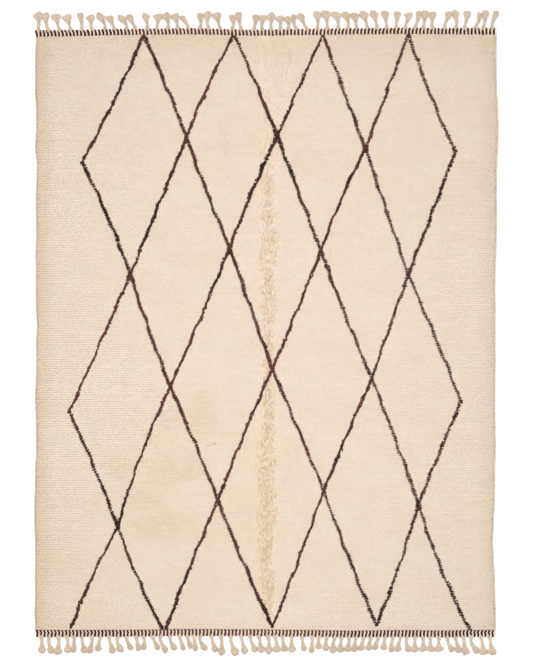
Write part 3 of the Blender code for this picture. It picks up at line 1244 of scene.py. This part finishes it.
def lay_knots(pile):
    """The places of the ivory locks on the even rug, row by row."""
    columns = round((2 * PILE_HALF + 0.002) / pile.across)
    across = np.linspace(0.004 - PILE_HALF, PILE_HALF - 0.004, columns)
    along = knot_rows(pile)
    x, y = (grid.ravel() for grid in np.meshgrid(across, along))
    column, row = np.tile(np.arange(columns), len(along)), np.repeat(np.arange(len(along)), columns)
    # each lock starts a little above or below its neighbours, less so where the rows show plainly
    ahead = (column * 0.618034 + row * 0.37) % 1 - 0.5
    plainly = 0.85 * np.abs(x) - 0.16 * x - 0.35 * (y + 0.25) ** 2
    plainly = plainly + 0.3 * np.sin(4.1 * x + 2) * np.sin(3.3 * y)
    y = y + (0.78 - 0.34 * bump(plainly, 0.15, 1.15)) * pile.along * ahead
    x = x + np.where(row % 2, 0.25, -0.25) * pile.across
    # twice as many finer locks lie in the furrow
    more = furrow_share(x, y)[0] > 0.1
    x = np.concatenate([x, x[more] + pile.across / 2])
    y = np.concatenate([y, y[more] + pile.along / 2])
    return x, np.clip(y, PILE_LOW + 0.008, PILE_HIGH - 0.004)


class Locks:
    """Every lock of wool on the even rug, as arrays with one value for each lock."""

    def __init__(self, pile, random):
        """Lays the ivory locks, then the furrow's tan strands, then the lattice's dark locks."""
        x, y = lay_knots(pile)
        room = 0.40 * pile.line * (1 + 0.12 * random.standard_normal(len(x)))
        clear = lattice_distance(*placed(x, y)) > room
        tan_x, tan_y = tan_strands(random)
        tan_clear = lattice_distance(*placed(tan_x, tan_y)) > 0.6 * pile.line
        dark_x, dark_y, *shapes = lattice_knots(pile, random)
        self.x = np.concatenate([x[clear], tan_x[tan_clear], dark_x])
        self.y = np.concatenate([y[clear], tan_y[tan_clear], dark_y])
        self.count = len(self.x)
        counts = (clear.sum(), tan_clear.sum(), len(dark_x))
        self.tan = np.repeat([False, True, False], counts)
        self.dark = np.repeat([False, False, True], counts)
        usual = (np.full(self.count - len(dark_x), value) for value in (0.0, 1.0, 1.0, 0.0))
        self.under, self.wide, self.long, self.turn = map(np.concatenate, zip(usual, shapes))
        drawn, self.aside = furrow_share(self.x, self.y)
        self.drawn = np.where(self.dark, drawn * 0.4, drawn)

    def headings(self, pile, random):
        """Which way each lock points: down the rug and to the left, and into the furrow beside it."""
        combed = -pile.lie + np.where(self.dark, 0.22, 0.16) * random.standard_normal(self.count)
        lean = np.interp(self.y, *np.array(FURROW_LEAN).T)
        inward = -lean * np.clip(self.aside / 0.012, -1, 1) + 0.12 * random.standard_normal(self.count)
        return combed * (1 - self.drawn) + inward * self.drawn + self.turn

    def sizes(self, pile, random):
        """The width, length and height of each lock. Tan strands are thin and long."""
        even = 1 + 0.10 * random.standard_normal(self.count)
        slim = np.where(self.dark, 0, np.sqrt(self.drawn))
        broad = np.where(self.tan, TAN_WIDE, 1.0 - 0.42 * slim + 0.40 * self.under)
        reach = np.where(self.tan, TAN_LONG, 1 + 0.50 * self.drawn)
        width = pile.across * even * self.wide * broad
        length = pile.combed * even * self.long * reach
        return np.stack([width, length, pile.lock * (1 + 0.25 * self.drawn)], 1)

    def comb(self, form, pile, random):
        """The points of each lock, turned to its heading and rolled a little, on the pile's surface."""
        heading = self.headings(pile, random)
        local = form.points[None] * self.sizes(pile, random)[:, None]
        roll = (0.08 + 0.10 * self.drawn) * random.standard_normal(self.count)
        lift = (0.0002 + 0.0003 * self.drawn) * random.standard_normal(self.count)
        lift += DARK_LIFT * self.dark - UNDER_DROP * self.under + TAN_LIFT * self.tan
        local[..., 2] += local[..., 0] * roll[:, None]
        local = turned(local, heading)
        across = self.x[:, None] + local[..., 0]
        along = self.y[:, None] + local[..., 1]
        height = pile_height(across, along) + local[..., 2] + lift[:, None]
        real_x, real_y = placed(across, along)
        return np.stack([real_x, real_y, np.clip(height, 0.001, PILE_TOP)], -1)

    def dye(self, random):
        """How pale each lock is in its own colour, how plum its dye is and how tan its wool is."""
        x, y = placed(self.x, self.y)
        shade = shades(self.count, random)
        plum = 1.0 - np.max([
            share * np.clip(1.25 - off_patch(x, y, patch), 0, 1) for *patch, share in UMBER_PATCHES
        ], 0)
        drift = np.sin(19 * x + 33 * y) + np.sin(21 * y - 17 * x)
        plum += 0.22 * drift + 0.16 * random.standard_normal(self.count) - 0.08 + 1.2 * self.turn
        tan = np.where(self.tan, np.clip(0.3 + 1.1 * self.drawn, 0, 1), 0.15 * self.drawn)
        for *patch, share in TAN_SPOTS:
            # a faint spot shows in its paler locks alone
            shown = np.where((shade > 0.5) | (share == 1), 1.0, 0.15)
            tan = np.maximum(tan, share * np.clip(1.2 - off_patch(x, y, patch), 0, 1) * shown)
        shade = shade * np.where(self.dark, 1, 1 + 4.0 * self.drawn)
        return shade, np.clip(plum, 0, 1), tan


def make_pile(pile):
    """All the locks of the pile, row by row: four pieces of ivory and one of the lattice."""
    random = np.random.default_rng(11)
    locks = Locks(pile, random)
    form = lock_form()
    points = locks.comb(form, pile, random)
    shade, plum, tan = locks.dye(random)
    # how far each point lies from a lock's root to its tip, which sets the painted shade at the roots
    depth = np.repeat(bump(-form.points[None, :, 1], -0.55, 0.1), locks.count, 0)
    quarter = ((locks.y - locks.y.min()) / (np.ptp(locks.y) + 0.001) * 4).astype(int)
    finish = ivory_finish(pile)
    made = []
    for number, name in enumerate(("pile_foot", "pile_lower", "pile_upper", "pile_head")):
        part = (quarter == number) & ~locks.dark
        values = {"shade": shade[part], "depth": depth[part], "tan": tan[part]}
        obj = join_copies(name, form, points[part], values)
        finish_piece(obj, finish, "ivory_wool", "rug_body")
        made.append(obj)
    dark = locks.dark
    values = {"shade": shade[dark], "depth": depth[dark], "plum": plum[dark]}
    lattice = join_copies("pile_lattice", form, points[dark], values)
    finish_piece(lattice, dark_finish(pile), "dark_wool", "rug_body")
    return made + [lattice]


def stitch_form():
    """One stitch of yarn: a plump grain, longest along Y, with a slight twist in its two plies."""
    deselect()
    bpy.ops.mesh.primitive_uv_sphere_add(segments=6, ring_count=5, radius=1, rotation=(math.pi / 2, 0, 0))
    obj = start_object("stitch")
    settle(obj)
    points = points_of(obj)
    x, y, z = points.T
    full = np.sqrt(np.clip(1 + y ** 2, 1, 2))
    x, z = x * full, z * full
    cos, sin = np.cos(0.5 * y), np.sin(0.5 * y)
    points = np.stack([x * cos - z * sin, y, x * sin + z * cos], 1)
    move_points(obj, points)
    return Form([obj])


def band_stitches(side, edge, pitch, bar, leans, random):
    """Middles, sizes and slants of one end band's stitches, as dark ones and pale ones."""
    pairs = round(2 * HALF_WIDTH / pitch)
    step = 2 * HALF_WIDTH / pairs
    bar = np.array(bar)
    number, level = (grid.ravel() for grid in np.meshgrid(np.arange(pairs), np.arange(len(bar))))
    inwards, shift, slant, half = bar[level].T
    count = len(level)
    y = side * (edge - BAND * inwards)
    found = []
    for start, wide in STITCHES:
        x = (number + start) * step - HALF_WIDTH
        real_x, real_y = placed(x, y)
        strength = np.interp(x, *np.array(leans).T) + 0.3 * random.standard_normal(pairs)[number]
        jitter_x, jitter_y = 0.0004 * random.standard_normal((count, 2)).T
        height = np.full(count, STITCH_MIDDLE)
        middle = np.stack([real_x + shift * strength + jitter_x, real_y + jitter_y, height], 1)
        across = wide * (1 + 0.08 * random.standard_normal(count))
        # the stitches are longer towards the corners
        longer = 1 + 0.20 * bump(np.abs(x), 0.9, 1.2)
        size = np.stack([across, half * longer, np.full(count, STITCH_THICK)], 1)
        plum = np.clip(1.25 - 1.1 * np.abs(x + 0.1) + 0.3 * np.sin(9 * x), 0, 1)
        lean = slant * strength + 0.05 * random.standard_normal(count)
        found.append((middle, size, lean, plum * (0.6 + 0.4 * random.random(count))))
    return found


def make_bands(edges):
    """The twined end bands: dark and pale bars side by side, of two stitches above and three below."""
    random = np.random.default_rng(5)
    form = stitch_form()
    ends = (
        band_stitches(1, TOP_EDGE, edges.top_pitch, TOP_BAR, TOP_LEAN, random),
        band_stitches(-1, BOTTOM_EDGE, edges.bottom_pitch, BOTTOM_BAR, BOTTOM_LEAN, random),
    )
    dark = yarn_finish("dark_band_yarn", tuple(edges.dark), tuple(edges.plum), None, 0.03)
    pale = yarn_finish("pale_band_yarn", tuple(edges.pale), PALE_DEEP, 0.5)
    pieces = (("bands_dark", dark, "dark_wool"), ("bands_pale", pale, "warp_yarn"))
    made = []
    for (name, finish, slot), *stitches in zip(pieces, *ends):
        middle, size, lean, plum = map(np.concatenate, zip(*stitches))
        points = turned(form.points[None] * size[:, None], lean) + middle[:, None]
        values = {"shade": shades(len(lean), random), "second": plum}
        obj = join_copies(name, form, points, values)
        finish_piece(obj, finish, slot, "rug_body")
        made.append(obj)
    return made


def make_selvedges(edges):
    """The bound sides: one yarn wrapped round each edge, turn by turn."""
    random = np.random.default_rng(3)
    form = stitch_form()
    turns = round((PILE_HIGH - PILE_LOW) / edges.wrap)
    y = np.tile(np.linspace(PILE_LOW + edges.wrap / 2, PILE_HIGH - edges.wrap / 2, turns), 2)
    side = np.repeat([-1.0, 1.0], turns)
    real_x, real_y = placed(side * (HALF_WIDTH - WRAP_INSET), y)
    # each stitch is turned to lie across the edge, and droops past it
    turn = form.points[:, [1, 0, 2]] * (1, -1, 1) * (WRAP_REACH, edges.wrap * 0.56, WRAP_THICK)
    points = np.repeat(turn[None], len(y), 0)
    points = turned(points, 0.10 * random.standard_normal(len(y)) + 0.12 * side)
    outer = np.clip(points[..., 0] * side[:, None] / WRAP_REACH, 0, 1)
    points[..., 2] -= 0.0012 * outer ** 2
    points += np.stack([real_x, real_y, np.full(len(y), WRAP_MIDDLE)], 1)[:, None]
    # painted shade and light: the left side is mostly the darker colour and the right side the paler one,
    # as if lit from the right; the wave along the rug is the yarn's own change of tone
    values = {
        "shade": shades(len(y), random),
        "second": np.where(side < 0, 0.85, 0.15) + 0.15 * np.sin(11 * y),
    }
    obj = join_copies("selvedges", form, points, values, turns)
    yarn = yarn_finish("selvedge_yarn", WRAP_LIT, WRAP_SHADED, None)
    finish_piece(obj, yarn, "ivory_wool", "rug_body")
    return obj


def tube(name, sides, stops):
    """A strand along Y, extruded ring by ring. Each stop has its middle and its two radii."""
    first = stops[0]
    deselect()
    bpy.ops.mesh.primitive_circle_add(
        vertices=sides, radius=1, fill_type="NGON", location=(0, 0, 0), rotation=(math.pi / 2, 0, 0)
    )
    obj = start_object(name)
    settle(obj)
    bpy.ops.object.mode_set(mode="EDIT")
    bpy.ops.mesh.select_all(action="SELECT")
    bpy.ops.transform.resize(value=(first[1][0], 1, first[1][1]), center_override=(0, 0, 0))
    bpy.ops.transform.translate(value=first[0])
    for (old, old_radii), (middle, radii) in zip(stops, stops[1:]):
        move = tuple(there - here for here, there in zip(old, middle))
        bpy.ops.mesh.extrude_region_move(TRANSFORM_OT_translate={"value": move})
        factor = (radii[0] / old_radii[0], 1, radii[1] / old_radii[1])
        bpy.ops.transform.resize(value=factor, center_override=middle)
    face_outwards()
    bpy.ops.object.mode_set(mode="OBJECT")
    return obj


def cord_parts(tassels):
    """The plies of a tassel's cord, spread where they leave the band and twisted up to the knot."""
    ply, parts = tassels.ply, []
    orbit = ply * 0.90
    for number in range(PLIES):
        stops = []
        for share in np.linspace(-0.07, KNOT_AT + 0.02, 14):
            angle = 2 * math.pi * (number / PLIES + tassels.turns * share / KNOT_AT)
            twist = orbit * math.cos(angle)
            root = max(0.0, ROOT - share) / ROOT
            splay = min(root, 1)
            x = twist * (1 - splay) + (number - 1) * PLIES_APART * splay ** 0.7 + twist * 0.3 * root
            z = CORD_MIDDLE + orbit * FLAT * math.sin(angle) * 0.8 * (1 - 0.6 * splay)
            stops.append(((x, share, z), (ply, ply * FLAT * 1.15)))
        parts.append(tube("ply", 6, stops))
    return parts


def knot_parts(tassels):
    """The knot: two turns of yarn across the cord, each tilted its own way."""
    parts = []
    for tilt in (-0.34, 0.30):
        deselect()
        bpy.ops.mesh.primitive_torus_add(
            major_segments=10, minor_segments=6, major_radius=tassels.ply * 1.75,
            minor_radius=tassels.ply * 0.80, location=(0, 0, 0), rotation=(math.pi / 2, 0, 0),
        )
        knot = start_object("knot")
        settle(knot)
        points = points_of(knot)
        along = (points[:, 1] + points[:, 0] * tilt) / USUAL_LENGTH
        points[:, 1] = along + KNOT_AT + 0.04 * np.sign(tilt)
        points[:, 2] = points[:, 2] * FLAT + KNOT_MIDDLE
        move_points(knot, points)
        parts.append(knot)
    return parts


def brush_parts(tassels, random):
    """The loose ends past the knot, fanned out in two layers."""
    parts = []
    for number in range(STRANDS):
        place = 2 * (number + 0.3 * random.uniform(-1, 1)) / (STRANDS - 1) - 1
        layer = 0.0022 if number % 2 else -0.0016
        end = 1.01 - 0.05 * random.random()
        wave = random.uniform(-0.0012, 0.0012)
        stops = []
        for share, spread, thick in BRUSH:
            x = place * spread * (tassels.fan / 2 - 0.001) + wave * math.sin(7 * share + number)
            z = BRUSH_MIDDLE - 0.0030 * share + layer * (1 - 0.4 * share)
            stops.append(((x, KNOT_AT + (end - KNOT_AT) * share, z), (thick, thick * 0.9)))
        parts.append(tube("end", 4, stops))
    return parts


def bent(points, across, reach):
    """A straight tassel's points laid along a smooth curve through its root, neck, head and tip."""
    curve = np.polyfit((0, NECK, HEAD, 1), across, 3)
    inside = np.clip(points[:, 1], 0, 1)
    slope = np.polyval(np.polyder(curve), inside) / reach
    angle = np.clip(np.arctan(slope), -0.9, 0.9)
    x = np.polyval(curve, inside) + points[:, 0] * np.cos(angle)
    y = points[:, 1] * reach - points[:, 0] * np.sin(angle)
    return np.stack([x, y, points[:, 2]], 1)


def make_fringe(name, side, edge, rows, round_tip, tassels, form, finish, random):
    """One end's tassels, each bent, widened and rounded from the one straight form."""
    copies = []
    place = form.points[:, 0] * 2 / tassels.fan
    brush = bump(form.points[:, 1], KNOT_AT, KNOT_AT + 0.2)
    for root, neck, head, tip, length, width in np.array(rows) / 1000:
        foot = float(placed(np.array([root]), np.array([side * edge]))[1][0])
        across = side * (np.array([root, neck, head, tip]) - root)
        points = form.points.copy()
        fan = bump(points[:, 1], KNOT_AT - 0.04, KNOT_AT + 0.22)
        points[:, 0] *= 1 + fan * (width / tassels.fan - 1)
        rounded = round_tip * (1.3 - 0.6 * abs(root) + 0.3 * random.standard_normal())
        points[:, 1] -= rounded * place ** 2 * bump(points[:, 1], 0.75, 1.0)
        points = bent(points, across, length)
        points[:, 0] = root + side * points[:, 0]
        points[:, 1] = foot + side * points[:, 1]
        copies.append(points)
    copies = np.array(copies)
    copies[..., 2] = np.maximum(copies[..., 2], RESTS_AT)
    count = len(copies)
    streaks = np.sin(form.points[None, :, 0] * 2 * math.pi / STREAK + 6.3 * random.random((count, 1)))
    shade = 0.2 * random.standard_normal((count, 1)) + 0.9 * streaks * brush + 0.3 * (side < 0)
    obj = join_copies("tassels_" + name, form, copies, {"shade": np.clip(shade, -1, 1)})
    finish_piece(obj, finish, "warp_yarn", "fringe_" + name)
    return obj


# ---------------------------------------------------------------- operators


class RUG_OT_pile(bpy.types.Operator):
    """Knots the pile and its lattice, lock by lock"""

    bl_idname = "rug.pile"
    bl_label = "Pile and lattice"

    def execute(self, context):
        make_pile(context.scene.rug_pile)
        return {"FINISHED"}


class RUG_OT_bands(bpy.types.Operator):
    """Twines the dark and pale bands at both ends"""

    bl_idname = "rug.bands"
    bl_label = "End bands"

    def execute(self, context):
        make_bands(context.scene.rug_edges)
        return {"FINISHED"}


class RUG_OT_selvedges(bpy.types.Operator):
    """Binds both sides with yarn"""

    bl_idname = "rug.selvedges"
    bl_label = "Bound sides"

    def execute(self, context):
        make_selvedges(context.scene.rug_edges)
        return {"FINISHED"}


class RUG_OT_tassels(bpy.types.Operator):
    """Twists, knots and brushes out the tassels of both ends"""

    bl_idname = "rug.tassels"
    bl_label = "Tassels"

    def execute(self, context):
        tassels = context.scene.rug_tassels
        random = np.random.default_rng(29)
        form = Form(cord_parts(tassels) + knot_parts(tassels) + brush_parts(tassels, random))
        finish = yarn_finish("warp_yarn", tuple(tassels.yarn), tuple(tassels.deep), 0.95)
        [make_fringe(*fringe, tassels, form, finish, random) for fringe in FRINGES]
        return {"FINISHED"}


class RUG_OT_ground(bpy.types.Operator):
    bl_idname = "rug.ground"
    bl_label = "Woven ground"

    def execute(self, context):
        ground = make_ground(context.scene.rug_pile)
        return {"FINISHED"}


class RUG_OT_stage(bpy.types.Operator):
    """Lays the floor and sets the lights and the camera"""

    bl_idname = "rug.stage"
    bl_label = "Floor, light and camera"

    def execute(self, context):
        stage = context.scene.rug_stage
        deselect()
        bpy.ops.mesh.primitive_plane_add(size=40, location=(0, 0, -0.0003))
        floor = start_object("floor")
        settle(floor)
        finish = Finish("plain_floor", 0.9, 0.0)
        cloudy = finish.noise(3.0)
        colour = finish.scaled(tuple(stage.floor)[:3], 0.99 + 0.02 * cloudy)
        floor.data.materials.append(finish.finish(colour, finish.noise(200.0), 0.0001))
        scene = context.scene
        world = bpy.data.worlds.new("studio")
        scene.world = world
        world.use_nodes = True
        sky = world.node_tree.nodes["Background"]
        sky.inputs["Color"].default_value = (1, 1, 1, 1)
        sky.inputs["Strength"].default_value = stage.sky
        light = bpy.data.lights.new("key", "SUN")
        light.angle = math.radians(35)
        light.energy = stage.key
        lamp = bpy.data.objects.new("key", light)
        scene.collection.objects.link(lamp)
        lamp.location = (-3.2, 4.2, 4.6)
        lamp.rotation_euler = (math.radians(-42), math.radians(-28), 0)
        lens = bpy.data.cameras.new("camera")
        lens.lens = stage.lens
        lens.sensor_width = 36.0
        lens.clip_end = 100.0
        camera = bpy.data.objects.new("camera", lens)
        scene.collection.objects.link(camera)
        camera.location = (0.003, 0.002, stage.height)
        scene.camera = camera
        scene.view_settings.view_transform = "Standard"
        return {"FINISHED"}


class RUG_PT_maker(bpy.types.Panel):
    """Lists the rug's pieces and their sizes"""

    bl_label = "Knotted wool rug"
    bl_idname = "RUG_PT_maker"
    bl_space_type = "VIEW_3D"
    bl_region_type = "UI"
    bl_category = "Rug"

    def draw(self, context):
        for step in STEPS:
            self.layout.operator(step.bl_idname)
        for group, pointer in GROUPS:
            box = self.layout.box()
            box.label(text=group.__doc__)
            for key in group.__annotations__:
                box.prop(getattr(context.scene, pointer), key)


GROUPS = (
    (RugPile, "rug_pile"),
    (RugEdges, "rug_edges"),
    (RugTassels, "rug_tassels"),
    (RugStage, "rug_stage"),
)
STEPS = (RUG_OT_stage, RUG_OT_pile, RUG_OT_bands, RUG_OT_selvedges, RUG_OT_tassels, RUG_OT_ground)


def register():
    """Adds the classes to Blender and the settings to the scene."""
    for group, pointer in GROUPS:
        bpy.utils.register_class(group)
        setattr(bpy.types.Scene, pointer, bpy.props.PointerProperty(type=group))
    for step in STEPS:
        bpy.utils.register_class(step)
    bpy.utils.register_class(RUG_PT_maker)


def unregister():
    """Takes them out again."""
    bpy.utils.unregister_class(RUG_PT_maker)
    for step in reversed(STEPS):
        bpy.utils.unregister_class(step)
    for group, pointer in reversed(GROUPS):
        delattr(bpy.types.Scene, pointer)
        bpy.utils.unregister_class(group)


def main():
    """Makes the whole rug."""
    register()
    bpy.ops.rug.stage()
    bpy.ops.rug.pile()
    bpy.ops.rug.bands()
    bpy.ops.rug.selvedges()
    bpy.ops.rug.tassels()
    bpy.ops.rug.ground()


if __name__ == "__main__":
    main()
